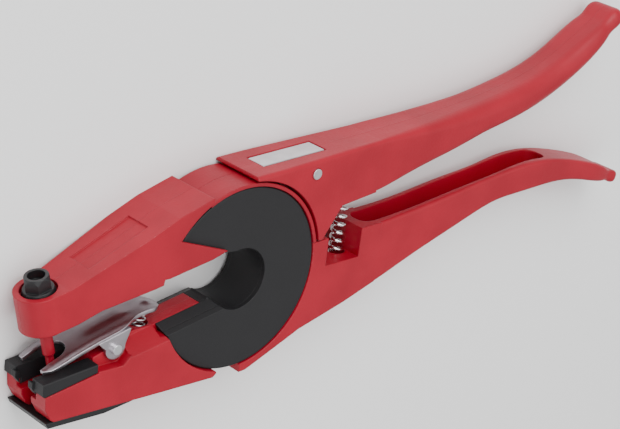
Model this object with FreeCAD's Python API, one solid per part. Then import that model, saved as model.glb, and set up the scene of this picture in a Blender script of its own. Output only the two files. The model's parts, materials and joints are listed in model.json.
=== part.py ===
"""Ear tag applicator: two crossed levers that turn about an open hub round the throat.

Millimetres. Every piece is drawn with the hub axis at X = Y = 0 and the middle plane at Z = 0, tail towards +X
and the pin jaw towards +Y. The finished tool is then laid on its side, with the middle of its foot at the origin.
"""
import FreeCAD
import Part
import math
import os
from FreeCAD import Vector

# ---- overall ---------------------------------------------------------------------------------------------
half_width = 9.5            # half of the tool across its side faces
side_relief = 1.0           # hub ring and lower handle lie this far below the jaw's side faces
running_gap = 0.3           # between faces that slide past each other
slip_gap = 0.1              # between pieces of one lever that are put together
hinge_gap = 0.06            # radial, hub plates on the throat liner
press_gap = 0.02            # radial, rivets, screws and pins in their holes
clip_pin_gap = 0.05         # radial, clip on its pin
handle_round = 1.2          # top edges of the upper handle
small_round = 0.4           # edges of cheeks and rails

# ---- hub -------------------------------------------------------------------------------------------------
cheek_r = 28.0              # black cheek discs
cheek_t = 1.6
throat_r = 9.5              # open throat
liner_wall = 3.0            # sleeve that the hub plates turn on
rim_wall = 1.1              # rim of the hub plates round the cheeks
jaw_pocket_gap = 0.3        # radial, jaw and handle castings round the rim
handle_arc_gap = 0.8        # radial, upper handle over the rim
plate_t = 2.8               # hub plates
web_end_deg = 74.0          # web of the jaw lever runs from the lower jaw round to here
web_start_deg = 240.0       # inside the lower jaw
shoulder_deg = 117.0        # pin jaw ends here over the hub
rim_cover_deg = 80.0        # rim is closed over the middle from the shoulder to here
tongue_top_deg = 121.0
rivet_r = 2.0
rivet_degs = (128.0, 146.0)

# ---- lower jaw -------------------------------------------------------------------------------------------
nose_half = 9.0             # half width at the nose
taper_x = -26.0             # both jaws narrow from here to the nose
nose_x = -66.5
jaw_rear_x = -6.0
jaw_floor_wall = 1.2        # lower jaw under the cheeks
rail_seat_front_y = -21.2
rail_seat_rear_x = -49.2
rail_seat_rear_y = -17.9
channel_half = 4.6
channel_y = -23.6
channel_rise = 0.8          # floor rises this much to the rear
slot_half = 2.3
channel_rear_x = -50.2
ear_floor_y = -17.4         # side recesses for the ears of the clip
ear_rear_x = -38.2
ear_corner = 2.5            # chamfer at the bottom of the recess
ear_land_half = 6.1         # half width of the land between the ears
land_front_y = -14.4
land_rear_y = -10.9
crease_y = -12.0            # side edge behind the recess
ridge_x = -27.1             # black liner starts here
ridge_y = -10.3
ridge_end_x = -7.9
ridge_end_y = -6.5
ridge_half = 3.6
bevel_drop = 2.5            # fall of the bevelled sides at the cheek faces
liner_floor_t = 2.2

# ---- rails and base plate --------------------------------------------------------------------------------
rail_h = 3.7
rail_w = 5.0
rail_front_x = -67.5
lug_size = 0.9
base_t = 1.6
base_rear_x = -36.0
base_screw_x = -44.0
base_screw_z = 4.2
base_screw_r = 1.5
base_screw_head_r = 2.6
base_screw_len = 7.0

# ---- tag clip --------------------------------------------------------------------------------------------
clip_pin_x = -42.5
clip_pin_y = -12.7
clip_pin_r = 1.5
clip_pin_half = 8.4
clip_t = 1.2
clip_ear_r = 3.3
ear_t = 1.0                 # ears are folded a little thinner
ear_gap = 0.15              # ears beside the land
clip_tip_x = -65.3
clip_tip_y = -15.6
clip_root_x = -55.0
clip_root_y = -11.4
clip_crest_x = -31.0
clip_crest_y = -5.2
clip_tail_x = -24.0
clip_tail_y = -5.9
clip_fork_half = 7.1
clip_shoulder_half = 6.8    # fork narrows through here to its tips
clip_tip_half = 4.8
clip_tail_half = 4.6
clip_notch_r = 4.3
clip_notch_y = -13.2        # height of the clip at its notch
clip_notch_lag = 0.20       # notch centre behind the pin's axis
clip_mouth_half = 4.7
clip_spring_x = -29.5
clip_spring_r = 2.4
clip_spring_seat_y = -14.0
clip_spring_wire = 0.6
clip_spring_gap = 0.45      # under the clip

# ---- pin jaw ---------------------------------------------------------------------------------------------
pin_tilt_deg = 14.5         # pin axis leans back from the middle of the swing
pin_reach = 61.1            # pin axis to hub axis, square to the pin
boss_r = 7.0
boss_under = 12.0           # along the pin axis from the hub
boss_top = 23.3
counterbore_r = 5.25
counterbore_depth = 1.7
jaw_step_x = -27.8
jaw_step_y = 4.9
jaw_step = 1.3
jaw_step_run = 0.5
bite_x = -12.2              # underside meets the tooth here
bite_y = 9.0
jaw_heel_x = -49.0
jaw_heel_y = 0.6
tooth_tip_x = -7.0
tooth_tip_y = 10.7
tooth_root_x = -22.1
tooth_root_y = 15.9
tooth_seat_x = -24.3        # upper edge of the tooth ends here, inside the jaw
tooth_back_x = -30.0
brow_wall = 5.7              # over the pocket, where the top surface breaks
brow_deg = 137.3
shoulder_wall = 1.5
panel_front_x = -52.0       # shallow bare panel in the top
panel_rear_x = -31.0
panel_half = 4.4
panel_depth = 0.5

# ---- applicator pin --------------------------------------------------------------------------------------
pin_r = 1.75
pin_tip_r = 1.2
pin_step = 2.4              # along the pin axis from the hub
pin_tip = -6.5
nut_af = 7.0                # across flats
nut_h = 5.2
nut_flange_r = 4.8
nut_flange_h = 1.3
nut_bore_r = 2.5
washer_t = 0.8

# ---- upper handle ----------------------------------------------------------------------------------------
hook_x = 1.7
hook_wall = 1.1             # over the rim
root_rise = 3.0             # top of the root over the hook
toe_wall = 0.8              # beside the rim
toe_run = 6.8
toe_y = 6.7
toe_top_y = 16.2
handle_root_x = 52.0
upper_root_low_y = 17.8
upper_root_half = 7.85
upper_channel_half = 4.6
upper_channel_wall = 3.4
upper_channel_front_x = 50.0
upper_channel_rear_x = 126.0
window_x = 8.6
window_len = 23.6
window_half = 3.9
window_depth = 1.9
window_gap = 0.45
top_plate_t = 1.6
plate_rivet_inset = 4.2     # from the end of the tab
plate_rivet_deg = 49.2
plate_rivet_wall = 0.46     # tab between the rivet and the window of the plate
plate_rivet_r = 1.6
tab_len = 11.8              # web tab that carries the upper handle, out from the rim
tab_end_x = 36.0
tab_start_deg = 22.0
tab_end_deg = 58.0

# upper handle sections: x, y of the middle, slope in degrees, height, width, corner radius
upper_sections = (
    (66.0, 28.4, 10.0, 14.2, 15.7, 2.0),
    (86.0, 31.5, 9.5, 12.2, 15.7, 3.6),
    (104.0, 35.0, 12.5, 10.4, 15.7, 4.2),
    (122.0, 39.5, 17.0, 9.8, 15.6, 4.3),
    (138.0, 46.6, 27.0, 8.8, 15.2, 4.0),
    (150.0, 54.6, 36.0, 7.0, 14.6, 3.2),
)
upper_lead = (42.0, 25.6, 4.0, 13.6, 15.6, 1.2)
upper_tip = (160.0, 62.4, 39.0, 6.4, 13.6, 2.9)

# ---- lower handle ----------------------------------------------------------------------------------------
lip_x = 3.8
lip_wall = 1.2              # under the rim
belly_x = 25.9
belly_y = -21.8
belly_rear_x = 44.8
belly_rear_y = -17.2
lower_root_x = 58.0
lower_root_low_y = -13.2
lower_root_top_y = 6.4
lower_root_half = 6.7
lower_top_x = 29.2
lower_top_y = 5.9
notch_x = 46.0              # spring notch and seat
notch_front_x = 34.5
notch_rear_x = 49.0
notch_floor_y = -3.0
lower_channel_wall = 2.1
lower_channel_floor = 3.4
lower_channel_front_x = 52.5
lower_channel_rear_x = 136.0
lower_tab_len = 8.7         # tabs of the hub plates inside the lower handle, out from the rim
lower_rivet_inset = 3.8
lower_tab_start_deg = 334.0
lower_tab_end_deg = 354.0
lower_rivet_degs = (338.0, 348.0)

# lower handle sections: x, y of the middle, slope in degrees, height, width, corner radius
lower_sections = (
    (73.6, 0.1, 14.0, 15.6, 12.6, 1.0),
    (95.5, 5.3, 12.5, 11.4, 12.3, 1.0),
    (118.7, 9.5, 6.0, 9.6, 12.3, 1.0),
    (138.7, 9.9, -6.0, 8.4, 12.3, 1.0),
    (154.0, 7.4, -14.0, 6.6, 12.2, 1.0),
    (166.0, 4.0, -17.0, 5.2, 11.8, 1.2),
)
lower_lead = (44.0, -5.9, 8.0, 18.6, 13.0, 0.8)
lower_tip = (175.0, 1.2, -16.0, 4.4, 10.8, 1.5)

# ---- handle spring ---------------------------------------------------------------------------------------
spring_r = 2.4
spring_wire = 1.0
spring_seat_gap = 0.5
spring_low_y = -7.0
spring_high_y = 24.0

# ---- values that follow ----------------------------------------------------------------------------------
hub_half = half_width - side_relief                     # ring, cheeks and lower handle
cheek_top = hub_half - running_gap
cheek_low = cheek_top - cheek_t
plate_top = cheek_low - running_gap / 2
plate_low = plate_top - plate_t
web_half = plate_low - running_gap / 2
liner_half = cheek_low
bearing_r = throat_r + liner_wall
plate_bore_r = bearing_r + hinge_gap
web_in_r = bearing_r + slip_gap
rim_in_r = cheek_r + running_gap
rim_r = rim_in_r + rim_wall
pocket_r = rim_r + jaw_pocket_gap
arc_r = rim_r + handle_arc_gap
beyond = 3 * cheek_r                                    # cutters reach this far, past every surface
jaw_floor_y = -cheek_r - jaw_floor_wall
base_low_y = jaw_floor_y - base_t
hook_y = arc_r + hook_wall
upper_root_top_y = hook_y + root_rise
toe_x = arc_r + toe_wall
toe_top_x = toe_x + toe_run
tab_r = arc_r + tab_len
lip_y = -rim_r - lip_wall
lower_tab_r = rim_in_r + lower_tab_len
lower_rivet_circle_r = lower_tab_r - lower_rivet_inset
rivet_circle_r = (plate_bore_r + rim_in_r) / 2          # rivets of the pin jaw's tongue
pin_seat = boss_top - counterbore_depth
liner_under_y = -throat_r - liner_floor_t
ridge_slope = (ridge_end_y - ridge_y) / (ridge_end_x - ridge_x)

nodes = {}


def polar(radius, degrees):
    """Point of the XY plane at a radius and an angle from the hub axis."""
    angle = math.radians(degrees)
    return (radius * math.cos(angle), radius * math.sin(angle))


plate_rivet_x = polar(tab_r - plate_rivet_inset, plate_rivet_deg)[0]
top_rise = root_rise / (handle_root_x - hook_x)         # slope of the handle's top face
plate_rivet_y = (hook_y + (plate_rivet_x - hook_x) * top_rise - window_depth - slip_gap - plate_rivet_r
                 - plate_rivet_wall)
shoulder_x, shoulder_y = polar(pocket_r + shoulder_wall, shoulder_deg)
brow_x, brow_y = polar(pocket_r + brow_wall, brow_deg)


# ---- shape helpers ---------------------------------------------------------------------------------------
def slab(points, low, high):
    """Prism over a closed outline in XY, from low to high along Z."""
    corners = [Vector(x, y, low) for x, y in points]
    face = Part.Face(Part.makePolygon(corners + corners[:1]))
    return face.extrude(Vector(0, 0, high - low))


def plan_slab(points, low, high):
    """Prism over a closed outline in XZ, from low to high along Y."""
    corners = [Vector(x, low, z) for x, z in points]
    face = Part.Face(Part.makePolygon(corners + corners[:1]))
    return face.extrude(Vector(0, high - low, 0))


def drum(radius, low, high, x=0.0, y=0.0):
    """Cylinder along Z."""
    return Part.makeCylinder(radius, high - low, Vector(x, y, low))


def post(radius, low, high, x, z=0.0):
    """Cylinder along Y."""
    return Part.makeCylinder(radius, high - low, Vector(x, low, z), Vector(0, 1, 0))


def arc_edge(radius, start, end, level):
    """Arc about the hub axis from one angle to another."""
    ends = [polar(radius, angle) for angle in (start, (start + end) / 2, end)]
    return Part.Arc(*[Vector(x, y, level) for x, y in ends]).toShape()


def sector(inner, outer, start, end, low, high):
    """Piece of a ring about the hub axis, between two angles."""
    outside = arc_edge(outer, start, end, low)
    inside = arc_edge(inner, end, start, low)
    sides = [Part.makeLine(outside.lastVertex(True).Point, inside.firstVertex(True).Point),
             Part.makeLine(inside.lastVertex(True).Point, outside.firstVertex(True).Point)]
    face = Part.Face(Part.Wire([outside, sides[0], inside, sides[1]]))
    return face.extrude(Vector(0, 0, high - low))


def both_sides(shape):
    """A shape and its mirror image in the middle plane."""
    return shape.fuse(shape.mirror(Vector(0, 0, 0), Vector(0, 0, 1)))


def mirrored(shape):
    return shape.mirror(Vector(0, 0, 0), Vector(0, 0, 1))


def rounded(shape, radius, chosen):
    """Fillet the edges that the rule picks."""
    return shape.makeFillet(radius, [edge for edge in shape.Edges if chosen(edge)])


def section_wire(x, y, slope, height, width, corner):
    """Rounded rectangle square to a handle's middle line."""
    up, across = height / 2, width / 2
    angle = math.radians(slope)
    rise = Vector(-math.sin(angle), math.cos(angle), 0)
    middle = Vector(x, y, 0)

    def spot(v, w):
        return middle + rise * v + Vector(0, 0, w)

    edges = []
    bulge = corner * (1 - math.sqrt(0.5))
    for v, w in ((1, 1), (-1, 1), (-1, -1), (1, -1)):
        on_flat = spot(v * up, w * (across - corner))
        on_side = spot(v * (up - corner), w * across)
        start, end = (on_flat, on_side) if v * w > 0 else (on_side, on_flat)
        edges.append(Part.Arc(start, spot(v * (up - bulge), w * (across - bulge)), end).toShape())
        next_v, next_w = {(1, 1): (-1, 1), (-1, 1): (-1, -1), (-1, -1): (1, -1), (1, -1): (1, 1)}[(v, w)]
        if v == next_v:
            after = spot(v * up, next_w * (across - corner))
        else:
            after = spot(next_v * (up - corner), w * across)
        edges.append(Part.makeLine(end, after))
    return Part.Wire(edges)


def handle_bar(rows, tip):
    """Loft through the sections of a handle, with a rounded tail."""
    wires = [section_wire(*row) for row in rows]
    x, y, slope, height, width, corner = tip
    angle = math.radians(slope)
    nose = height * 0.55
    for share in (0.0, 0.5, 0.8, 0.95):
        shrink = math.sqrt(1 - share * share)
        back = nose * (1 - share)
        wires.append(section_wire(x - back * math.cos(angle), y - back * math.sin(angle), slope, height * shrink,
                                  width - height * (1 - shrink), corner * shrink))
    return Part.makeLoft(wires, True, False)


def bevel_cutter(start_x, end_x):
    """Wedge above the bevelled side of the lower jaw and its liner, on the near side."""
    reach = half_width + 1
    fall = bevel_drop / (cheek_top - ridge_half)
    height = 12.0
    profile = [Vector(0, 0, ridge_half), Vector(0, -fall * (reach - ridge_half), reach), Vector(0, height, reach),
               Vector(0, height, ridge_half)]
    start_y = ridge_y + ridge_slope * (start_x - ridge_x)
    start = [p + Vector(start_x, start_y, 0) for p in profile]
    face = Part.Face(Part.makePolygon(start + start[:1]))
    return face.extrude(Vector(end_x - start_x, ridge_slope * (end_x - start_x), 0))


def jaw_plan(low, high):
    """Plan shape of the lower jaw: full width at the hub, narrower at the nose."""
    return plan_slab([(nose_x - 4, -nose_half), (taper_x, -half_width), (60, -half_width), (60, half_width),
                      (taper_x, half_width), (nose_x - 4, nose_half)], low, high)


def behind(x):
    """Everything on the tail side of a plane square to X."""
    return slab([(x, -beyond), (x + beyond, -beyond), (x + beyond, beyond), (x, beyond)], -half_width, half_width)


# ---- jaw lever -------------------------------------------------------------------------------------------
def lower_jaw():
    outline = [(nose_x, rail_seat_front_y), (nose_x + 0.4, jaw_floor_y + 4.0), (nose_x + 2.2, jaw_floor_y + 0.8),
               (nose_x + 3.4, jaw_floor_y), (jaw_rear_x - 1.2, jaw_floor_y), (jaw_rear_x, jaw_floor_y + 1.0),
               (jaw_rear_x, -throat_r), (ridge_end_x, ridge_end_y), (ridge_x, ridge_y), (ear_rear_x, land_rear_y),
               (rail_seat_rear_x, land_front_y), (rail_seat_rear_x, rail_seat_rear_y)]
    body = slab(outline, -half_width, half_width)
    body = body.common(jaw_plan(-beyond, beyond))
    # sides: recesses for the clip's ears, bevels and the beds of the cheeks
    recess = slab([(rail_seat_rear_x - 1, ear_floor_y), (ear_rear_x - ear_corner, ear_floor_y),
                   (ear_rear_x, ear_floor_y + ear_corner), (ear_rear_x, 0), (rail_seat_rear_x - 1, 0)],
                  ear_land_half, half_width + 1)
    shave = slab([(ear_rear_x - 0.1, crease_y), (ridge_x, crease_y - 0.4), (ridge_x, 0), (ear_rear_x - 0.1, 0)],
                 half_width - 0.6, half_width + 1)
    cheek_bed = drum(rim_in_r, cheek_low, half_width + 1)
    for cutter in (recess, shave, bevel_cutter(ear_rear_x, 5), cheek_bed):
        body = body.cut(both_sides(cutter))
    # room for the liner: its sleeve, and its floor beside the ridge
    body = body.cut(drum(web_in_r, -half_width, half_width))
    floor_bed = slab([(ridge_x, ridge_y + 6), (ridge_x, ridge_y - liner_floor_t), (0, liner_under_y), (0, 6)],
                     ridge_half, half_width)
    body = body.cut(both_sides(floor_bed))
    # channel for the tag, open at the nose
    channel = slab([(nose_x - 1, channel_y), (channel_rear_x, channel_y + channel_rise), (channel_rear_x, 0),
                    (nose_x - 1, 0)], -channel_half, channel_half)
    slot = slab([(nose_x - 1, jaw_floor_y - 1), (channel_rear_x - 3, jaw_floor_y - 1), (channel_rear_x - 3, 0),
                 (nose_x - 1, 0)], -slot_half, slot_half)
    spring_hole = post(clip_spring_r + spring_seat_gap, clip_spring_seat_y, 0, clip_spring_x)
    pin_hole = drum(clip_pin_r + press_gap, -half_width, half_width, clip_pin_x, clip_pin_y)
    for cutter in (channel, slot, spring_hole, pin_hole):
        body = body.cut(cutter)
    for side in (-1, 1):
        body = body.cut(post(base_screw_r + press_gap, jaw_floor_y - 1, base_low_y + base_screw_len + running_gap,
                             base_screw_x, side * base_screw_z))
    # web round the throat, with the tab that carries the upper handle
    web = sector(web_in_r, cheek_r - 0.5, web_end_deg, web_start_deg - 360, -web_half, web_half)
    tab = sector(web_in_r + 1, tab_r, tab_start_deg, tab_end_deg, -web_half, web_half)
    rivet_hole = drum(plate_rivet_r + press_gap, -half_width, half_width, plate_rivet_x, plate_rivet_y)
    tab = tab.cut(plate_block(60, window_depth + slip_gap, 60))
    tab = tab.cut(behind(tab_end_x))
    liner_room = slab([(ridge_end_x, liner_under_y - 1.0), (0, liner_under_y - 1.0), (0, 0), (ridge_end_x, 0)],
                      -half_width, half_width)
    body = body.fuse(web).fuse(tab).cut(rivet_hole).cut(liner_room)
    return body.removeSplitter()


def upper_handle():
    front = [(hook_x, hook_y), (hook_x, 0), (toe_x - 8, 0), (toe_x, toe_y), (toe_top_x, toe_top_y),
             (handle_root_x, upper_root_low_y), (handle_root_x, upper_root_top_y)]
    block = slab(front, -half_width, half_width)
    plan = plan_slab([(0, -half_width), (12, -half_width), (handle_root_x, -upper_root_half),
                      (handle_root_x, upper_root_half), (12, half_width), (0, half_width)], -10, 60)
    block = block.common(plan).cut(drum(arc_r, -half_width - 1, half_width + 1))
    toe = slab([(0, -30), (60, -30), (60, toe_y - 0.1), (0, toe_y - 0.1)], -half_width - 1, half_width + 1)
    block = block.cut(toe)
    top_line = rounded(block, handle_round, lambda e: min(v.Y for v in e.Vertexes) > hook_y - 0.1
                       and abs(e.CenterOfMass.z) > 5 and e.Length > 5)
    height = upper_root_top_y - upper_root_low_y
    root = (handle_root_x, upper_root_low_y + height / 2, 5.0, height - 0.1, 2 * upper_root_half, 1.2)
    bar = handle_bar((upper_lead, root) + upper_sections, upper_tip)
    body = top_line.fuse(bar)
    # channel under the handle
    roof = [(x, y + height / 2 - upper_channel_wall) for x, y, slope, height, width, corner in upper_sections
            if x < upper_channel_rear_x]
    channel = slab([(upper_channel_front_x, 0), (upper_channel_front_x, upper_root_top_y - upper_channel_wall - 1)]
                   + roof + [(upper_channel_rear_x, 38), (upper_channel_rear_x, 0)],
                   -upper_channel_half, upper_channel_half)
    # slot for the web's tab, seat of the spring, window of the steel plate
    slot = sector(arc_r - 4, tab_r + 0.3, tab_start_deg - 0.5, tab_end_deg + 0.5, -web_half - slip_gap,
                  web_half + slip_gap)
    slot = slot.cut(plate_block(60, window_depth, 60))
    slot = slot.cut(behind(tab_end_x + 2 * slip_gap))
    seat = post(spring_r + spring_seat_gap, 0, spring_high_y, notch_x)
    rivet_hole = drum(plate_rivet_r + press_gap, -half_width - 1, half_width + 1, plate_rivet_x, plate_rivet_y)
    for cutter in (channel, slot, seat, rivet_hole, plate_block(window_gap, window_depth, 6.0)):
        body = body.cut(cutter)
    return body


def plate_block(gap, depth, above):
    """Block along the handle's top face: the steel plate, or with a gap its window."""
    slope = math.degrees(math.atan2(upper_root_top_y - hook_y, handle_root_x - hook_x))
    block = Part.makeBox(window_len + 2 * gap, depth + above, 2 * (window_half - window_gap + gap),
                         Vector(-gap, -depth, -(window_half - window_gap + gap)))
    block.rotate(Vector(0, 0, 0), Vector(0, 0, 1), slope)
    rise = (window_x - hook_x) * math.tan(math.radians(slope))
    block.translate(Vector(window_x, hook_y + rise, 0))
    return block


def top_plate():
    plate = plate_block(0.0, top_plate_t, 0.0)
    return rounded(plate, 0.35, lambda e: e.CenterOfMass.y > plate.BoundBox.YMin + top_plate_t * 0.7)


def plate_rivet():
    return drum(plate_rivet_r, -half_width, half_width, plate_rivet_x, plate_rivet_y)


def lining(low, high, outer_r, upper_edge):
    """C-shaped lining between two levels: ring about the throat, open at the mouth."""
    ring = drum(outer_r, low, high)
    ring = ring.cut(drum(throat_r, low, high))
    floor_x = -outer_r - 5
    floor_y = ridge_y + ridge_slope * (floor_x - ridge_x)
    hollow = slab([(0, 0), upper_edge[0], upper_edge[1], (floor_x, upper_edge[1][1]), (floor_x, floor_y),
                   (ridge_end_x, ridge_end_y)], low, high)
    return ring.cut(hollow)


def cheek():
    mouth = (polar(throat_r, 104), (-cheek_r - 5, tooth_tip_y + 0.8))
    disc = lining(cheek_low, cheek_top, cheek_r, mouth)
    disc = disc.cut(bevel_cutter(ridge_x - 8, 5))
    return rounded(disc, small_round, lambda e: abs(e.CenterOfMass.z - cheek_top) < 0.01 and e.Length > 60)


def throat_liner():
    sleeve = drum(bearing_r, -liner_half, liner_half).cut(drum(throat_r, -liner_half, liner_half))
    top = polar(bearing_r + 1, 104)
    mouth = slab([(0, 0), top, (-30, top[1]), (-30, ridge_y), (ridge_x, ridge_y), (ridge_end_x, ridge_end_y)],
                 -liner_half, liner_half)
    sleeve = sleeve.cut(mouth)
    floor = slab([(ridge_x, ridge_y), (ridge_end_x, ridge_end_y), (-4, -throat_r), (-4, liner_under_y),
                  (ridge_x, ridge_y - liner_floor_t)], -liner_half, liner_half)
    floor = floor.cut(drum(throat_r, -liner_half, liner_half))
    ridge_slot = slab([(ridge_x - 1, -beyond), (ridge_end_x, -beyond), (ridge_end_x, 0), (ridge_x - 1, 0)],
                      -ridge_half - slip_gap, ridge_half + slip_gap)
    ridge_slot = ridge_slot.cut(drum(bearing_r, -half_width, half_width))
    body = sleeve.fuse(floor).cut(ridge_slot).cut(both_sides(bevel_cutter(ridge_x - 8, 5)))
    inside = drum(cheek_r, -liner_half, liner_half)
    return body.common(inside).removeSplitter()


def rail():
    """Black rail on the near wall of the nose, with a lug at its front."""
    seat_slope = (rail_seat_rear_y - rail_seat_front_y) / (rail_seat_rear_x - nose_x)
    front_y = rail_seat_front_y + seat_slope * (rail_front_x - nose_x)
    side = [(rail_front_x, front_y + 0.9), (nose_x, rail_seat_front_y), (rail_seat_rear_x - 0.2, rail_seat_rear_y),
            (rail_seat_rear_x - 0.2, rail_seat_rear_y + rail_h - 1.0), (rail_front_x, front_y + rail_h + 0.6)]
    bar = slab(side, nose_half - rail_w, nose_half)
    lug = slab([(rail_front_x - 0.6, front_y + 1.6), (rail_front_x + lug_size, front_y - 0.4),
                (rail_front_x + lug_size, front_y + 2.8), (rail_front_x - 0.6, front_y + 3.4)],
               nose_half - rail_w - 1.0, nose_half - rail_w + lug_size)
    skirt = slab([(nose_x + 1.2, rail_seat_front_y - 1.6), (channel_rear_x, rail_seat_rear_y - 1.9),
                  (channel_rear_x, rail_seat_rear_y), (nose_x + 1.2, rail_seat_front_y + 0.5)],
                 nose_half - rail_w, channel_half)
    bar = rounded(bar, small_round, lambda e: e.Length > 6 and e.CenterOfMass.z > nose_half - 0.1)
    return bar.fuse(lug).fuse(skirt)


def base_plate():
    side = [(nose_x + 0.8, jaw_floor_y), (nose_x + 1.6, base_low_y), (base_rear_x - 10, base_low_y),
            (base_rear_x, jaw_floor_y)]
    plate = slab(side, -half_width, half_width).common(jaw_plan(-beyond, beyond))
    for side_sign in (-1, 1):
        plate = plate.cut(base_screw(side_sign, press_gap))
    return plate


def base_screw(side, gap):
    """Countersunk screw from under the base plate."""
    z = side * base_screw_z
    head_h = base_t * 0.8
    head = Part.makeCone(base_screw_head_r + gap, base_screw_r + gap, head_h, Vector(base_screw_x, base_low_y, z),
                         Vector(0, 1, 0))
    shank = post(base_screw_r + gap, base_low_y + head_h, base_low_y + base_screw_len, base_screw_x, z)
    return head.fuse(shank)


def clip_side():
    """Side outline of the sheet steel clip, from fork tip to tail."""
    top = [(clip_tip_x, clip_tip_y), (clip_tip_x + 3.4, clip_tip_y + 1.7), (clip_root_x, clip_root_y),
           (clip_crest_x, clip_crest_y), (clip_tail_x, clip_tail_y)]
    return top + [(x + 0.25, y - clip_t) for x, y in reversed(top)]


def tag_clip():
    strip = slab(clip_side(), -half_width, half_width)
    fork_x = clip_root_x + 5.0
    neck_x = clip_pin_x + 4.5
    half_plan = [(clip_tip_x - 1, clip_tip_half), (clip_tip_x + 2.5, clip_shoulder_half),
                 (fork_x, clip_fork_half), (neck_x, clip_fork_half), (neck_x + 2.5, clip_tail_half),
                 (clip_tail_x - clip_tail_half, clip_tail_half)]
    tail = [(clip_tail_x - clip_tail_half + clip_tail_half * math.sin(math.radians(a)),
             clip_tail_half * math.cos(math.radians(a))) for a in range(15, 91, 15)]
    upper = half_plan + tail
    plan = plan_slab(upper + [(x, -z) for x, z in reversed(upper) if z > 1e-6], -beyond, beyond)
    body = strip.common(plan)
    tilt = math.radians(pin_tilt_deg)
    notch_mid = -pin_reach / math.cos(tilt) - clip_notch_y * math.tan(tilt) + clip_notch_lag
    notch = post(clip_notch_r, -beyond, beyond, notch_mid)
    mouth = plan_slab([(notch_mid, -clip_notch_r), (clip_tip_x - 2, -clip_mouth_half),
                       (clip_tip_x - 2, clip_mouth_half), (notch_mid, clip_notch_r)], -beyond, beyond)
    body = body.cut(notch).cut(mouth)
    ear_in = ear_land_half + ear_gap
    ear_side, ear_low = clip_ear_r * 0.8, clip_pin_y - clip_ear_r * 0.6
    ear = slab([(clip_pin_x - 6.2, clip_pin_y + 2.2), (clip_pin_x - ear_side, ear_low),
                (clip_pin_x + ear_side, ear_low), (clip_pin_x + 4.2, clip_pin_y + 4.6),
                (clip_pin_x - 6.2, clip_pin_y + 2.6)], ear_in, ear_in + ear_t)
    ear = ear.fuse(drum(clip_ear_r, ear_in, ear_in + ear_t, clip_pin_x, clip_pin_y))
    body = body.fuse(both_sides(ear))
    pin_hole = drum(clip_pin_r + clip_pin_gap, -half_width, half_width, clip_pin_x, clip_pin_y)
    return body.cut(pin_hole).removeSplitter()


def clip_pin():
    return drum(clip_pin_r, -clip_pin_half, clip_pin_half, clip_pin_x, clip_pin_y)


def coil_stand_in(x, low, high, radius, wire):
    """Plain tube with the outer shape of a coil spring, along Y."""
    return post(radius, low, high, x).cut(post(radius - wire, low, high, x))


def clip_spring():
    top = clip_crest_y - clip_t - clip_spring_gap
    return coil_stand_in(clip_spring_x, clip_spring_seat_y, top, clip_spring_r, clip_spring_wire)


def handle_spring():
    return coil_stand_in(notch_x, spring_low_y, spring_high_y, spring_r, spring_wire)


# ---- pin lever -------------------------------------------------------------------------------------------
def along_pin(shape):
    """Turn a shape drawn with the pin upright to the lean of the pin."""
    turned = shape.copy()
    turned.rotate(Vector(0, 0, 0), Vector(0, 0, 1), pin_tilt_deg)
    return turned


def pin_frame(x, y):
    """Point given square to and along the pin, in the XY plane."""
    angle = math.radians(pin_tilt_deg)
    return (x * math.cos(angle) - y * math.sin(angle), x * math.sin(angle) + y * math.cos(angle))


def jaw_underside():
    """Corners along the underside of the pin jaw, from its step to the tip of the tooth."""
    return [(jaw_step_x + jaw_step_run, jaw_step_y + jaw_step), (bite_x, bite_y), (tooth_tip_x, tooth_tip_y)]


def above_underside(rest):
    """Region above the underside of the pin jaw, closed through the rest of its corners."""
    step = jaw_underside()[0]
    return [(jaw_step_x - 8, step[1] - 1.6)] + jaw_underside() + rest


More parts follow.
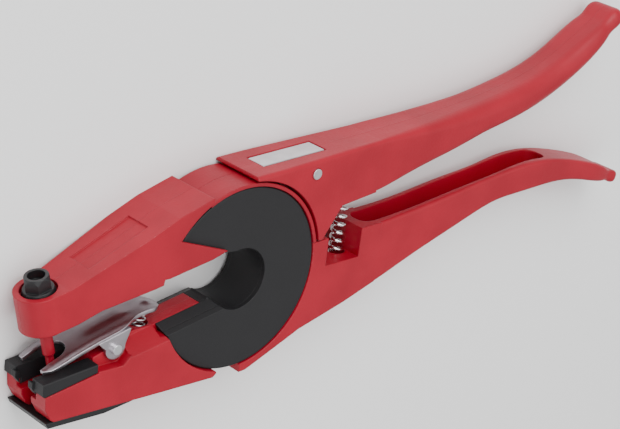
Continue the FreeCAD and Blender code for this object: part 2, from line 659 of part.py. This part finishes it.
def upper_jaw():
    front_low = pin_frame(-pin_reach - boss_r - 2, boss_under)
    heel = pin_frame(-pin_reach + boss_r - 1, boss_under)
    front_top = pin_frame(-pin_reach - boss_r - 2, boss_top)
    back_top = pin_frame(-pin_reach + boss_r * 0.75, boss_top)
    step = jaw_underside()[0]
    outline = [front_low, heel, (jaw_heel_x, jaw_heel_y), (jaw_step_x, jaw_step_y)] + jaw_underside()
    outline += [(tooth_tip_x - 1, shoulder_y - 7.5), (shoulder_x + 1.5, shoulder_y - 4), (shoulder_x, shoulder_y),
                (brow_x, brow_y), back_top, front_top]
    body = slab(outline, -half_width, half_width)
    spread = [(-pin_reach + boss_r * math.cos(math.radians(a)), boss_r * math.sin(math.radians(a)))
              for a in range(100, 261, 10)]
    plan = plan_slab(spread + [(-30, -half_width), (10, -half_width), (10, half_width), (-30, half_width)], -60, 80)
    nose = post(boss_r, -60, 80, -pin_reach)
    body = body.common(along_pin(plan.fuse(nose)))
    body = body.cut(drum(pocket_r, -half_width - 1, half_width + 1))
    body = body.cut(along_pin(post(counterbore_r, pin_seat, boss_top + 9, -pin_reach)))
    body = body.cut(along_pin(post(pin_r + press_gap, -10, 60, -pin_reach)))
    # bare panel, sunk in the top
    slope = math.degrees(math.atan2(brow_y - back_top[1], brow_x - back_top[0]))
    panel = Part.makeBox(panel_rear_x - panel_front_x, 6, 2 * panel_half, Vector(0, -panel_depth, -panel_half))
    panel.rotate(Vector(0, 0, 0), Vector(0, 0, 1), slope)
    lift = (panel_front_x - back_top[0]) * math.tan(math.radians(slope))
    panel.translate(Vector(panel_front_x, back_top[1] + lift, 0))
    body = body.cut(panel)
    # teeth over the cheeks, and the tongue between the hub plates
    tooth_slope = (tooth_root_y - tooth_tip_y) / (tooth_root_x - tooth_tip_x)
    seat_y = tooth_root_y + (tooth_seat_x - tooth_root_x) * tooth_slope
    tooth = slab(jaw_underside() + [(tooth_root_x, tooth_root_y), (tooth_seat_x, seat_y), (tooth_back_x, seat_y),
                                    (tooth_back_x, jaw_step_y)], half_width - side_relief, half_width)
    tooth = tooth.cut(slab([(-40, -10), (jaw_step_x, jaw_step_y), step, (-40, step[1])], 0, half_width))
    body = body.fuse(both_sides(tooth))
    tongue = sector(plate_bore_r + 0.2, pocket_r + 1.5, tongue_top_deg, 168, -web_half, web_half)
    above = slab(above_underside([(0, 14), (0, beyond), (-beyond, beyond)]), -half_width, half_width)
    body = body.fuse(tongue.common(above))
    return body.cut(jaw_rivet_holes(press_gap)).removeSplitter()


def jaw_rivet_holes(gap):
    spots = [polar(rivet_circle_r, degrees) for degrees in rivet_degs]
    pins = [drum(rivet_r + gap, -plate_top, plate_top, x, y) for x, y in spots]
    return pins[0].fuse(pins[1:])


def jaw_rivets():
    return jaw_rivet_holes(0.0)


def handle_rivet_holes(gap):
    spots = [polar(lower_rivet_circle_r, degrees) for degrees in lower_rivet_degs]
    near = [drum(rivet_r + gap, plate_low - 2.0, plate_top, x, y) for x, y in spots]
    return near[0].fuse(near[1:])


def handle_rivets():
    return both_sides(handle_rivet_holes(0.0))


def hub_plate():
    """Near half of the hub ring: a flat plate on the liner with a rim round the cheek."""
    start = lower_tab_start_deg - 360 - 18
    disc = sector(plate_bore_r, rim_in_r, 172, start, plate_low, plate_top)
    above = slab(above_underside([(-2, plate_bore_r), (0, 0), (0, -beyond), (beyond, -beyond), (beyond, beyond),
                                  (-beyond, beyond)]), 0, half_width)
    disc = disc.common(above)
    side_rim = sector(rim_in_r - 0.3, rim_r, shoulder_deg + 2.5, lower_top_deg(), plate_low, hub_half)
    side_rim = side_rim.cut(drum(rim_in_r, plate_top, half_width))
    cover = sector(rim_in_r - 0.3, rim_r, shoulder_deg + 2.5, rim_cover_deg, slip_gap / 2, hub_half)
    cover = cover.cut(drum(rim_in_r, plate_top, half_width)).cut(drum(cheek_r + 0.1, 0, plate_low))
    tab = sector(rim_in_r - 2, lower_tab_r, lower_tab_start_deg - 360, lower_tab_end_deg - 360, plate_low,
                 plate_top)
    body = disc.fuse(side_rim).fuse(cover).fuse(tab)
    return body.cut(jaw_rivet_holes(press_gap)).cut(handle_rivet_holes(press_gap)).removeSplitter()


def lower_top_deg():
    """Angle where the lower handle's top edge meets the hub rim."""
    return math.degrees(math.asin((lower_top_y + slip_gap) / rim_in_r))


def lower_handle():
    outline = [(lip_x, lip_y), (lip_x + 2.6, lip_y + 0.3), (belly_x, belly_y), (belly_rear_x, belly_rear_y),
               (lower_root_x, lower_root_low_y), (lower_root_x, lower_root_top_y), (lower_top_x, lower_top_y),
               (lower_top_x - 4, lower_top_y), (lip_x, lip_y + 10)]
    block = slab(outline, -hub_half, hub_half)
    plan = plan_slab([(0, -hub_half), (24, -hub_half), (lower_root_x, -lower_root_half),
                      (lower_root_x, lower_root_half), (24, hub_half), (0, hub_half)], -60, 60)
    block = block.common(plan).cut(drum(pocket_r, -plate_low - slip_gap, plate_low + slip_gap))
    block = block.cut(drum(rim_in_r, -half_width, half_width))
    height = lower_root_top_y - lower_root_low_y
    root = (lower_root_x, lower_root_low_y + height / 2, 8.0, height - 0.1, 2 * lower_root_half, 0.8)
    bar = handle_bar((lower_lead, root) + lower_sections, lower_tip)
    body = block.fuse(bar)
    # long channel in the top
    inside = lower_sections[1][4] / 2 - lower_channel_wall
    floor = [(x, y - height / 2 + lower_channel_floor) for x, y, slope, height, width, corner in lower_sections
             if x < lower_channel_rear_x]
    channel = slab([(lower_channel_front_x, 40), (lower_channel_front_x, lower_root_low_y + lower_channel_floor + 2)]
                   + floor + [(lower_channel_rear_x, 10.5), (lower_channel_rear_x, 40)], -inside, inside)
    channel = rounded(channel, inside * 0.85, lambda e: abs(e.tangentAt(e.FirstParameter).y) > 0.999)
    notch = slab([(notch_front_x, notch_floor_y), (notch_rear_x, notch_floor_y), (notch_rear_x, spring_high_y),
                  (notch_front_x, spring_high_y)], -half_width, half_width)
    seat = post(spring_r + spring_seat_gap, spring_low_y, spring_high_y, notch_x)
    tab_slot = sector(rim_in_r - 3, lower_tab_r + 0.2, lower_tab_start_deg - 360.5, lower_tab_end_deg - 359.5,
                      plate_low - slip_gap, plate_top + slip_gap)
    for cutter in (channel, notch, seat, both_sides(tab_slot), both_sides(handle_rivet_holes(press_gap))):
        body = body.cut(cutter)
    return body


def applicator_pin():
    shank = post(pin_r, pin_step, pin_seat + washer_t + nut_h * 0.45, -pin_reach)
    point = post(pin_tip_r, pin_tip, pin_step, -pin_reach)
    taper = Part.makeCone(pin_tip_r, pin_r, 0.8, Vector(-pin_reach, pin_step - 0.8, 0), Vector(0, 1, 0))
    body = shank.fuse(point).fuse(taper).removeSplitter()
    return along_pin(rounded(body, 0.5, lambda e: e.CenterOfMass.y < pin_tip + 0.01))


def nut_washer():
    ring = post(nut_flange_r, pin_seat, pin_seat + washer_t, -pin_reach)
    return along_pin(ring.cut(post(pin_r + 0.1, pin_seat, pin_seat + washer_t, -pin_reach)))


def pin_nut():
    base = pin_seat + washer_t
    flange = Part.makeCone(nut_flange_r, nut_flange_r - 0.5, nut_flange_h, Vector(-pin_reach, base, 0),
                           Vector(0, 1, 0))
    corner_r = nut_af / math.sqrt(3)
    corners = [(-pin_reach + corner_r * math.cos(math.radians(a)), corner_r * math.sin(math.radians(a)))
               for a in range(0, 360, 60)]
    hexagon = plan_slab(corners, base, base + nut_h)
    crown = Part.makeCone(nut_af / 2 + 2.2, nut_af / 2 - 0.1, nut_h, Vector(-pin_reach, base, 0),
                          Vector(0, 1, 0))
    body = flange.fuse(hexagon.common(crown.fuse(post(nut_af, base, base + nut_h * 0.6, -pin_reach))))
    body = body.cut(post(pin_r + press_gap, base - 1, base + nut_h, -pin_reach))
    hollow = post(nut_bore_r, base + nut_h * 0.5, base + nut_h + 1, -pin_reach)
    return along_pin(body.cut(hollow).removeSplitter())


# ---- the whole tool --------------------------------------------------------------------------------------
def build():
    near_cheek, near_rail, near_plate = cheek(), rail(), hub_plate()
    nodes.update({
        "lower_jaw": lower_jaw(), "upper_handle": upper_handle(), "throat_liner": throat_liner(),
        "near_cheek": near_cheek, "far_cheek": mirrored(near_cheek),
        "near_rail": near_rail, "far_rail": mirrored(near_rail),
        "base_plate": base_plate(), "base_plate_screws": base_screw(1, 0.0).fuse(base_screw(-1, 0.0)),
        "top_plate": top_plate(), "plate_rivet": plate_rivet(),
        "tag_clip": tag_clip(), "clip_pin": clip_pin(), "clip_spring": clip_spring(),
        "handle_spring": handle_spring(),
        "upper_jaw": upper_jaw(), "lower_handle": lower_handle(),
        "near_hub_plate": near_plate, "far_hub_plate": mirrored(near_plate),
        "jaw_rivets": jaw_rivets(), "handle_rivets": handle_rivets(),
        "applicator_pin": applicator_pin(), "nut_washer": nut_washer(), "pin_nut": pin_nut(),
    })
    box = FreeCAD.BoundBox()
    for shape in nodes.values():
        box.add(shape.optimalBoundingBox(False, False))
    foot = Vector(-box.Center.x, -box.Center.y, -box.ZMin)
    os.makedirs("parts", exist_ok=True)
    print("hub axis at", foot.x, foot.y, foot.z, "size", box.XLength, box.YLength, box.ZLength)
    for name, shape in nodes.items():
        laid = shape.copy()
        laid.translate(foot)
        laid.exportStep("parts/" + name + ".step")
        print(name, laid.isValid(), len(laid.Solids), round(laid.Volume, 1))


build()
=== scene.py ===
"""Looks of the ear tag applicator: finishes, coil springs, the stamped clip, floor, lights and camera.

Metres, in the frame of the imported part: +X towards the handle tails, +Y towards the pin jaw, +Z up from the
floor.
"""
import json
import math

import bmesh
import bpy
import numpy as np
from mathutils import Matrix, Vector


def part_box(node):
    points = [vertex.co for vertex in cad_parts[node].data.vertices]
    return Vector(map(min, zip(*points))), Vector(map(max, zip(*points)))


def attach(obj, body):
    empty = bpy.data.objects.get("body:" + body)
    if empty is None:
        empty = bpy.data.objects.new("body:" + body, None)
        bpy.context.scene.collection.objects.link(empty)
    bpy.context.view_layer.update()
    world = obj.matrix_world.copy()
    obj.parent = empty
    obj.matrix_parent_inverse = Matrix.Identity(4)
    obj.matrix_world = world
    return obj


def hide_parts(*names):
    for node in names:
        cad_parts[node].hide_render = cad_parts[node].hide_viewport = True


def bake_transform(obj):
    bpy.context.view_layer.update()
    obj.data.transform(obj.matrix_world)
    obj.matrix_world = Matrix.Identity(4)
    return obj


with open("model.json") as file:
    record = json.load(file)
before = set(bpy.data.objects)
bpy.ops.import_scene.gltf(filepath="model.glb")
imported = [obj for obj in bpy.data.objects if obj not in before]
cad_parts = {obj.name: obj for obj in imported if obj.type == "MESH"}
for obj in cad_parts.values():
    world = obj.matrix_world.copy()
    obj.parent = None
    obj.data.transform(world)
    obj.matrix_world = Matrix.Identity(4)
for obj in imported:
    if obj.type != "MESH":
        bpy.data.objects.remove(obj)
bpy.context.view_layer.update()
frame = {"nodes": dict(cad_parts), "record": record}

MM = 0.001
HUB = Vector(frame["record"]["behaviour"]["joints"][0]["pos_m"])    # hub axis, on the middle plane
MIDDLE = HUB.z

# ---- camera and light -----------------------------------------------------------------------------------
CAMERA_PLACE = HUB + Vector((-360.93, 229.87, 389.57)) * MM
CAMERA_AIM = HUB + Vector((33.20, 10.96, 0)) * MM
CAMERA_ROLL = -7.62                     # degrees about the line of sight, from +Y upright
CAMERA_LENS = 116.19

# ---- springs --------------------------------------------------------------------------------------------
HANDLE_SPRING_TURNS = 12.5
HANDLE_SPRING_WIRE = 0.5 * MM           # wire radius
CLIP_SPRING_TURNS = 5.0
CLIP_SPRING_WIRE = 0.28 * MM

# ---- tag clip, from the hub axis -------------------------------------------------------------------------
CLIP_T = 1.2 * MM
CLIP_LINE = np.array([(-65.3, -15.9), (-63.2, -14.5), (-60.0, -13.2), (-55.0, -11.3), (-48.0, -9.2),
                      (-38.0, -6.6), (-31.0, -5.3), (-27.0, -5.2), (-24.0, -5.9)]) * MM
CLIP_WIDTHS = np.array([(-65.3, 4.9), (-64.4, 6.2), (-62.5, 6.9), (-58.0, 7.1), (-50.0, 7.1), (-40.0, 7.0),
                        (-37.0, 6.0), (-34.0, 4.8), (-28.6, 4.6)]) * MM
CLIP_TAIL_X = -24.0 * MM
CLIP_TAIL_R = 4.6 * MM
NOTCH_MID_X = -59.5 * MM
NOTCH_R = 4.3 * MM
RIB_X = (-51.0 * MM, -33.0 * MM)
RIB_HALF = 2.4 * MM
RIB_H = 0.45 * MM
DIMPLE_X = -27.6 * MM
DIMPLE_R = 1.5 * MM
DIMPLE_H = 0.5 * MM
EAR_PIN = (-42.5 * MM, -12.7 * MM)
EAR_R = 3.3 * MM
EAR_TOP = (-48.2 * MM, -37.6 * MM)
EAR_Z = 6.75 * MM
EAR_T = 1.0 * MM
EAR_SINK = 0.2 * MM                     # top edge of an ear under the sheet
RIB_RAMP = 5 * MM                       # the rib rises and falls over this length
FALL_Z = (5.2 * MM, 7.2 * MM)           # the fork's edges fall between these distances from the middle
FALL = 0.7 * MM
CORNER_SPREAD = 1.6 * MM                # bends are averaged over this length to each side
SHEET_EDGE = 0.2 * MM                   # rounding of the cut edges
EAR_EDGE = 0.15 * MM

# ---- casting marks ---------------------------------------------------------------------------------------
SEAM_HALF = 0.16 * MM                   # parting line round the middle plane
CAST_EDGE = 0.55 * MM                   # looks of rounded edges, by finish
MOULD_EDGE = 0.3 * MM

# ---- studio ----------------------------------------------------------------------------------------------
FLOOR_HALF = 4.0
WORLD_STRENGTH = 0.66


# ---- shader maths ----------------------------------------------------------------------------------------
class Signal:
    """A shader socket that can be used in arithmetic: each operator adds one Math node."""

    def __init__(self, finish, socket):
        self.finish, self.socket = finish, socket

    def _math(self, operation, *values):
        return self.finish.node("ShaderNodeMath", {"operation": operation}, dict(enumerate(values)))

    def __add__(self, other):
        return self._math("ADD", self, other)

    def __sub__(self, other):
        return self._math("SUBTRACT", self, other)

    def __rsub__(self, other):
        return self._math("SUBTRACT", other, self)

    def __mul__(self, other):
        return self._math("MULTIPLY", self, other)

    def __truediv__(self, other):
        return self._math("DIVIDE", self, other)

    def __abs__(self):
        return self._math("ABSOLUTE", self)

    __radd__ = __add__

    def ramp(self, low, high):
        """0 below low, 1 above high, smooth between."""
        return self.finish.node("ShaderNodeMapRange", {"interpolation_type": "SMOOTHSTEP"},
                                {"Value": self, "From Min": low, "From Max": high})


class Finish:
    """A material: one Principled shader and the nodes that feed it."""

    def __init__(self, name, **constants):
        self.material = bpy.data.materials.new(name)
        self.material.use_nodes = True
        self.tree = self.material.node_tree
        self.tree.nodes.clear()
        self.shader = self.tree.nodes.new("ShaderNodeBsdfPrincipled")
        out = self.tree.nodes.new("ShaderNodeOutputMaterial")
        self.tree.links.new(self.shader.outputs[0], out.inputs[0])
        for socket, value in constants.items():
            self.shader.inputs[socket.replace("_", " ")].default_value = value
        coordinates = self.tree.nodes.new("ShaderNodeTexCoord")
        self.place = Signal(self, coordinates.outputs["Object"])

    def node(self, kind, settings, values, out=0):
        """Add a node: its settings first, then the values or links of its sockets."""
        node = self.tree.nodes.new(kind)
        for key, value in settings.items():
            setattr(node, key, value)
        for key, value in values.items():
            if isinstance(value, Signal):
                self.tree.links.new(value.socket, node.inputs[key])
            else:
                node.inputs[key].default_value = value
        return Signal(self, node.outputs[out])

    def feed(self, socket, signal):
        self.tree.links.new(signal.socket, self.shader.inputs[socket])

    def noise(self, size, detail=2.0, stretch=(1, 1, 1)):
        """Noise from 0 to 1 with features about size across."""
        at = self.node("ShaderNodeMapping", {}, {"Vector": self.place, "Scale": stretch})
        return self.node("ShaderNodeTexNoise", {}, {"Vector": at, "Scale": 1 / size, "Detail": detail})

    def blend(self, share, first, second):
        """Colour between two colours."""
        return self.node("ShaderNodeMix", {"data_type": "RGBA"}, {0: share, 6: first, 7: second}, out=2)

    def axis(self, name):
        split = self.node("ShaderNodeSeparateXYZ", {}, {0: self.place})
        return Signal(self, split.socket.node.outputs[name])

    def edges(self, radius):
        """Rounded normal, and a mask that is 1 on sharp edges."""
        soft = self.node("ShaderNodeBevel", {"samples": 8}, {"Radius": radius})
        flat = self.node("ShaderNodeNewGeometry", {}, {}, out="Normal")
        match = self.node("ShaderNodeVectorMath", {"operation": "DOT_PRODUCT"}, {0: soft, 1: flat},
                          out="Value")
        return soft, (1 - match).ramp(0.01, 0.16)

    def bump(self, height, depth, normal=None):
        values = {"Height": height, "Strength": 1.0, "Distance": depth}
        if normal is not None:
            values["Normal"] = normal
        self.feed("Normal", self.node("ShaderNodeBump", {}, values))


def cast_red(name, light, dark, seam):
    """Satin coated casting: slow colour drift, worn edges, rubbed patches, fine peel and the mould's seam."""
    finish = Finish(name, IOR=1.38, Coat_Roughness=0.3, Coat_Weight=0.05)
    soft, edge = finish.edges(CAST_EDGE)
    drift = finish.noise(16 * MM, 3.0).ramp(0.3, 0.7)
    body = finish.blend(drift, (*dark, 1), (*light, 1))
    speck = finish.noise(0.55 * MM, 1.0).ramp(0.6, 0.72) * edge
    finish.feed("Base Color", finish.blend(speck * 0.55, body, (0.46, 0.075, 0.09, 1)))
    peel = finish.noise(0.7 * MM, 3.0)
    rub = finish.noise(4 * MM, 4.0, (0.35, 1, 1)).ramp(0.5, 0.8)
    finish.feed("Roughness", 0.36 + peel * 0.16 + finish.noise(9 * MM) * 0.08 - rub * 0.06)
    height = peel * 0.35
    if seam:
        height = height + (1 - (abs(finish.axis("Z") - MIDDLE) / SEAM_HALF).ramp(0.3, 1.0)) * 0.9
    finish.bump(height, 0.12 * MM, soft)
    return finish.material


def moulded_black(name, colour, roughness, grain):
    """Matte moulded nylon: fine grain with paler scuffs along edges."""
    finish = Finish(name, IOR=1.4)
    soft, edge = finish.edges(MOULD_EDGE)
    scuff = finish.noise(1.6 * MM, 4.0).ramp(0.52, 0.75) * edge
    drift = finish.noise(12 * MM, 2.0) * 0.5
    body = finish.blend(drift, (*colour, 1), (*[c * 1.7 for c in colour], 1))
    finish.feed("Base Color", finish.blend(scuff * 0.5, body, (0.075, 0.073, 0.078, 1)))
    texture = finish.noise(grain, 3.0)
    finish.feed("Roughness", roughness + texture * 0.16)
    finish.bump(texture, 0.05 * MM, soft)
    return finish.material


def steel(name, colour, roughness, brush, edge_r=0.25):
    """Bare or plated steel: faint marks along X, darker stains in slow patches, a painted highlight on sharp
    edges.
    """
    finish = Finish(name, Metallic=1.0)
    soft, edge = finish.edges(edge_r * MM)
    marks = finish.noise(0.4 * MM, 3.0, brush)
    stain = finish.noise(5 * MM, 3.0).ramp(0.35, 0.75) * 0.35
    body = finish.blend(stain, (*colour, 1), (*[c * 0.62 for c in colour], 1))
    # Lighter on every sharp edge: a painted highlight.
    finish.feed("Base Color", finish.blend(edge * 0.4, body, (*[min(1.0, c * 1.35) for c in colour], 1)))
    finish.feed("Roughness", roughness + marks * 0.14)
    finish.bump(marks, 0.02 * MM, soft)
    return finish.material


def paper(name, colour):
    """Plain pale floor with the faintest tooth."""
    finish = Finish(name, IOR=1.3)
    tooth = finish.noise(3 * MM, 2.0)
    finish.feed("Roughness", 0.8 + tooth * 0.1)
    finish.feed("Base Color", finish.blend(tooth, (*colour, 1), (*[c * 0.99 for c in colour], 1)))
    return finish.material


RED = cast_red("red_casting", (0.35, 0.0022, 0.017), (0.29, 0.0017, 0.013), True)
# Hub plates' ring: the same red casting made darker, painted shade for the ring seen down in the gap between
# the disc and the handles.
RED_RING_PAINTED_SHADE = cast_red("red_ring_painted_shade", (0.32, 0.002, 0.016), (0.26, 0.0015, 0.012), True)
RED_PIN = cast_red("red_pin", (0.33, 0.0022, 0.017), (0.27, 0.0017, 0.013), False)
NYLON = moulded_black("black_nylon", (0.008, 0.0078, 0.0088), 0.44, 0.35 * MM)
PLATE_BLACK = moulded_black("black_plate", (0.009, 0.009, 0.010), 0.36, 0.8 * MM)
NUT_BLACK = moulded_black("black_nut", (0.010, 0.010, 0.011), 0.24, 0.5 * MM)
CLIP_STEEL = steel("clip_steel", (0.46, 0.43, 0.46), 0.27, (0.25, 1, 1))
BRIGHT = steel("bright_steel", (0.70, 0.70, 0.72), 0.24, (0.2, 1, 1))
CHROME = steel("spring_chrome", (0.80, 0.80, 0.81), 0.08, (1, 1, 1), 0.05)

BY_SLOT = {"red_casting": RED, "black_nylon": NYLON, "black_plate": PLATE_BLACK, "black_steel": NUT_BLACK,
           "red_pin": RED_PIN, "clip_steel": CLIP_STEEL, "bright_steel": BRIGHT, "spring_chrome": CHROME}
# The hub plates take the darker red: painted shade.
BY_NODE = {"near_hub_plate": RED_RING_PAINTED_SHADE, "far_hub_plate": RED_RING_PAINTED_SHADE}

for part in frame["record"]["subparts"]:
    node = frame["nodes"][part["node"]]
    node.data.materials.clear()
    node.data.materials.append(BY_NODE.get(part["node"], BY_SLOT[part["material_slot"]]))


# ---- surfaces --------------------------------------------------------------------------------------------
def surface(name, points, material, wrap=False, caps=False):
    """Mesh over a grid of points, rows by columns. wrap closes the columns, caps closes both end rows."""
    rows, columns = points.shape[:2]
    number = np.arange(rows * columns).reshape(rows, columns)
    after = np.roll(number, -1, axis=1) if wrap else number[:, 1:]
    here = number if wrap else number[:, :-1]
    quads = np.stack([here[:-1], after[:-1], after[1:], here[1:]], axis=-1).reshape(-1, 4)
    faces = quads.tolist()
    if caps:
        faces += [number[0, ::-1].tolist(), number[-1].tolist()]
    mesh = bpy.data.meshes.new(name)
    mesh.from_pydata(points.reshape(-1, 3).tolist(), [], faces)
    mesh.polygons.foreach_set("use_smooth", np.ones(len(faces), bool))
    mesh.materials.append(material)
    mesh.update()
    made = bpy.data.objects.new(name, mesh)
    bpy.context.collection.objects.link(made)
    return made


def outwards(made, merge=1e-6):
    """Merge doubled points and turn every face outwards."""
    work = bmesh.new()
    work.from_mesh(made.data)
    bmesh.ops.remove_doubles(work, verts=work.verts, dist=merge)
    bmesh.ops.recalc_face_normals(work, faces=work.faces)
    work.to_mesh(made.data)
    work.free()
    return made


def coil(name, node, turns, wire, material):
    """Round wire on a helix along Y: the end turns lie flat and the others share the rest of the height."""
    low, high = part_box(node)
    centre_x, centre_z = (low.x + high.x) / 2, (low.z + high.z) / 2
    radius = (high.x - low.x) / 2 - wire
    along = np.linspace(0, turns, int(turns * 40) + 1)
    flat = 2.1 * wire
    height = high.y - low.y - 2 * wire
    y = low.y + wire + np.interp(along, [0, 1, turns - 1, turns], [0, flat, height - flat, height])
    turn = 2 * np.pi * along
    path = np.stack([centre_x + radius * np.cos(turn), y, centre_z + radius * np.sin(turn)], axis=1)
    ahead = np.gradient(path, axis=0)
    ahead /= np.linalg.norm(ahead, axis=1, keepdims=True)
    out = np.stack([np.cos(turn), np.zeros_like(turn), np.sin(turn)], axis=1)
    side = np.cross(ahead, out)
    around = np.linspace(0, 2 * np.pi, 14, endpoint=False)
    ring = out[:, None] * np.cos(around)[None, :, None] + side[:, None] * np.sin(around)[None, :, None]
    return outwards(surface(name, path[:, None] + wire * ring, material, wrap=True, caps=True))


def smooth_step(value, low, high):
    """0 at low and below, 1 at high and above, with level ends."""
    share = np.clip((value - low) / (high - low), 0, 1)
    return share * share * (3 - 2 * share)


def soft_curve(table, x):
    """Value of a table of points at x, rounded at its corners by averaging over a short stretch."""
    spread = np.linspace(-CORNER_SPREAD, CORNER_SPREAD, 9)
    return np.mean([np.interp(x + shift, table[:, 0], table[:, 1]) for shift in spread], axis=0)


def clip_height(x, z):
    """Height of the clip's sheet: its bent middle line, plus a rib, plus a dimple near the tail, less the fall
    of the fork's edges."""
    y = soft_curve(CLIP_LINE, x)
    rib = smooth_step(x, RIB_X[0], RIB_X[0] + RIB_RAMP) * (1 - smooth_step(x, RIB_X[1] - RIB_RAMP, RIB_X[1]))
    y = y + RIB_H * rib * np.exp(-(z / RIB_HALF) ** 4)
    y = y + DIMPLE_H * np.exp(-((x - DIMPLE_X) ** 2 + z ** 2) / DIMPLE_R ** 2)
    return y - FALL * smooth_step(np.abs(z), *FALL_Z)


def clip_sheet():
    """Sheet of the clip. Along X its outer edge follows the widths and the round tail. Its inner edge is the
    middle line, or in the fork the side of the notch: a half circle that runs on straight to the tips."""
    notch_root = NOTCH_MID_X + NOTCH_R
    ease = (1 - np.cos(np.linspace(0, np.pi, 34))) / 2
    fork = CLIP_LINE[0, 0] + (notch_root - CLIP_LINE[0, 0]) * np.sin(np.linspace(0, np.pi / 2, 40))
    tail_start = CLIP_TAIL_X - CLIP_TAIL_R
    body = notch_root + (tail_start - notch_root) * ease[1:]
    tail = tail_start + CLIP_TAIL_R * np.sin(np.linspace(0, np.pi / 2, 20))[1:]
    x = np.concatenate([fork, body, tail])
    outer = soft_curve(CLIP_WIDTHS, x)
    in_tail = np.clip((x - tail_start) / CLIP_TAIL_R, 0, 1)
    outer = np.where(x > tail_start, CLIP_TAIL_R * np.sqrt(1 - in_tail ** 2), outer)
    from_mid = np.clip((x - NOTCH_MID_X) / NOTCH_R, 0, 1)
    inner = NOTCH_R * np.sqrt(1 - from_mid ** 2)
    inner = np.where(x >= notch_root - 1e-9, 0.0, inner)
    across = np.linspace(0, 1, 24)
    z = inner[:, None] + (outer - inner)[:, None] * across[None, :]
    x = np.broadcast_to(x[:, None], z.shape)
    y = clip_height(x, z)
    near = np.stack([HUB.x + x, HUB.y + y, MIDDLE + z], axis=-1)
    far = np.stack([HUB.x + x, HUB.y + y, MIDDLE - z], axis=-1)
    return near, far


def clip_ear(side):
    """Ear of the clip: straight down from the sheet's edge to a half circle round the pin."""
    share = np.linspace(0, 1, 25)
    angle = np.pi * (1 + share)
    bottom_x = EAR_PIN[0] + EAR_R * np.cos(angle)
    bottom_y = EAR_PIN[1] + EAR_R * np.sin(angle)
    top_x = EAR_TOP[0] + (EAR_TOP[1] - EAR_TOP[0]) * share
    top_y = clip_height(top_x, np.full_like(top_x, EAR_Z)) - EAR_SINK
    down = np.linspace(0, 1, 16)[:, None]
    x = top_x + (bottom_x - top_x) * smooth_step(down, 0, 1)
    y = top_y + (bottom_y - top_y) * down
    z = np.broadcast_to(side * EAR_Z, x.shape)
    return np.stack([HUB.x + x, HUB.y + y, MIDDLE + z], axis=-1)


def join(name, pieces):
    """One object from several, merged where they meet."""
    first = pieces[0]
    with bpy.context.temp_override(active_object=first, object=first, selected_objects=pieces,
                                   selected_editable_objects=pieces):
        bpy.ops.object.join()
    first.name = first.data.name = name
    return outwards(first, 2e-6)


def thicken(made, thickness, edge):
    """Give a surface its thickness, half to each side, and round the edges of the cut."""
    wall = made.modifiers.new("wall", "SOLIDIFY")
    wall.thickness, wall.offset, wall.use_even_offset = thickness, 0.0, False
    rim = made.modifiers.new("rim", "BEVEL")
    rim.width, rim.segments, rim.limit_method, rim.angle_limit = edge, 2, "ANGLE", math.radians(50)
    return made


near, far = clip_sheet()
sheet = join("tag_clip_sheet", [surface("clip_near", near, CLIP_STEEL), surface("clip_far", far, CLIP_STEEL)])
thicken(sheet, CLIP_T, SHEET_EDGE)
ears = [thicken(surface("tag_clip_ear_" + word, clip_ear(side), CLIP_STEEL), EAR_T, EAR_EDGE)
        for side, word in ((1, "near"), (-1, "far"))]
for piece in [sheet] + ears:
    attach(piece, "clip")
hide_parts("tag_clip")

handle_coil = coil("handle_spring_coil", "handle_spring", HANDLE_SPRING_TURNS, HANDLE_SPRING_WIRE, CHROME)
clip_coil = coil("clip_spring_coil", "clip_spring", CLIP_SPRING_TURNS, CLIP_SPRING_WIRE, BRIGHT)
for piece, node, start_body, end_body, top_first in (
        (handle_coil, "handle_spring", "jaw_lever", "pin_lever", True),
        (clip_coil, "clip_spring", "jaw_lever", "clip", False)):
    low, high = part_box(node)
    ends = [Vector(((low.x + high.x) / 2, y, MIDDLE)) for y in (low.y, high.y)]
    if top_first:
        ends.reverse()
    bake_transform(piece)
    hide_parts(node)


# ---- floor, lights and camera ----------------------------------------------------------------------------
floor_mesh = bpy.data.meshes.new("floor")
corners = [(FLOOR_HALF * x, FLOOR_HALF * y, 0) for x, y in ((-1, -1), (1, -1), (1, 1), (-1, 1))]
floor_mesh.from_pydata(corners, [], [(0, 1, 2, 3)])
floor_mesh.materials.append(paper("pale_floor", (0.9, 0.9, 0.9)))
floor = bpy.data.objects.new("floor", floor_mesh)
bpy.context.collection.objects.link(floor)


def softbox(name, place, aim, size, watts):
    """Square area light that faces a point."""
    lamp = bpy.data.lights.new(name, "AREA")
    lamp.shape, lamp.size, lamp.energy = "SQUARE", size, watts
    made = bpy.data.objects.new(name, lamp)
    made.location = place
    made.rotation_euler = (Vector(aim) - Vector(place)).to_track_quat("-Z", "Y").to_euler()
    bpy.context.collection.objects.link(made)


softbox("key", (-0.25, 0.85, 0.75), (-0.02, 0, 0), 0.9, 13)
softbox("fill", (-0.8, -0.25, 0.9), (-0.02, 0, 0), 1.0, 5.5)
softbox("top", (0.3, 0.1, 1.2), (0, 0, 0), 1.2, 5.5)

world = bpy.data.worlds.new("studio")
world.use_nodes = True
world.node_tree.nodes["Background"].inputs["Color"].default_value = (1, 1, 1, 1)
world.node_tree.nodes["Background"].inputs["Strength"].default_value = WORLD_STRENGTH
bpy.context.scene.world = world

ahead = (Vector(CAMERA_AIM) - Vector(CAMERA_PLACE)).normalized()
upright = Vector((0, 1, 0)) - ahead * ahead.y
upright = Matrix.Rotation(math.radians(CAMERA_ROLL), 3, ahead) @ upright.normalized()
across = ahead.cross(upright)
camera_data = bpy.data.cameras.new("camera")
camera_data.lens = CAMERA_LENS
camera_data.clip_start, camera_data.clip_end = 0.01, 20
camera = bpy.data.objects.new("camera", camera_data)
facing = Matrix((across, upright, -ahead)).transposed()
camera.matrix_world = Matrix.Translation(CAMERA_PLACE) @ facing.to_4x4()
bpy.context.collection.objects.link(camera)
bpy.context.scene.camera = camera
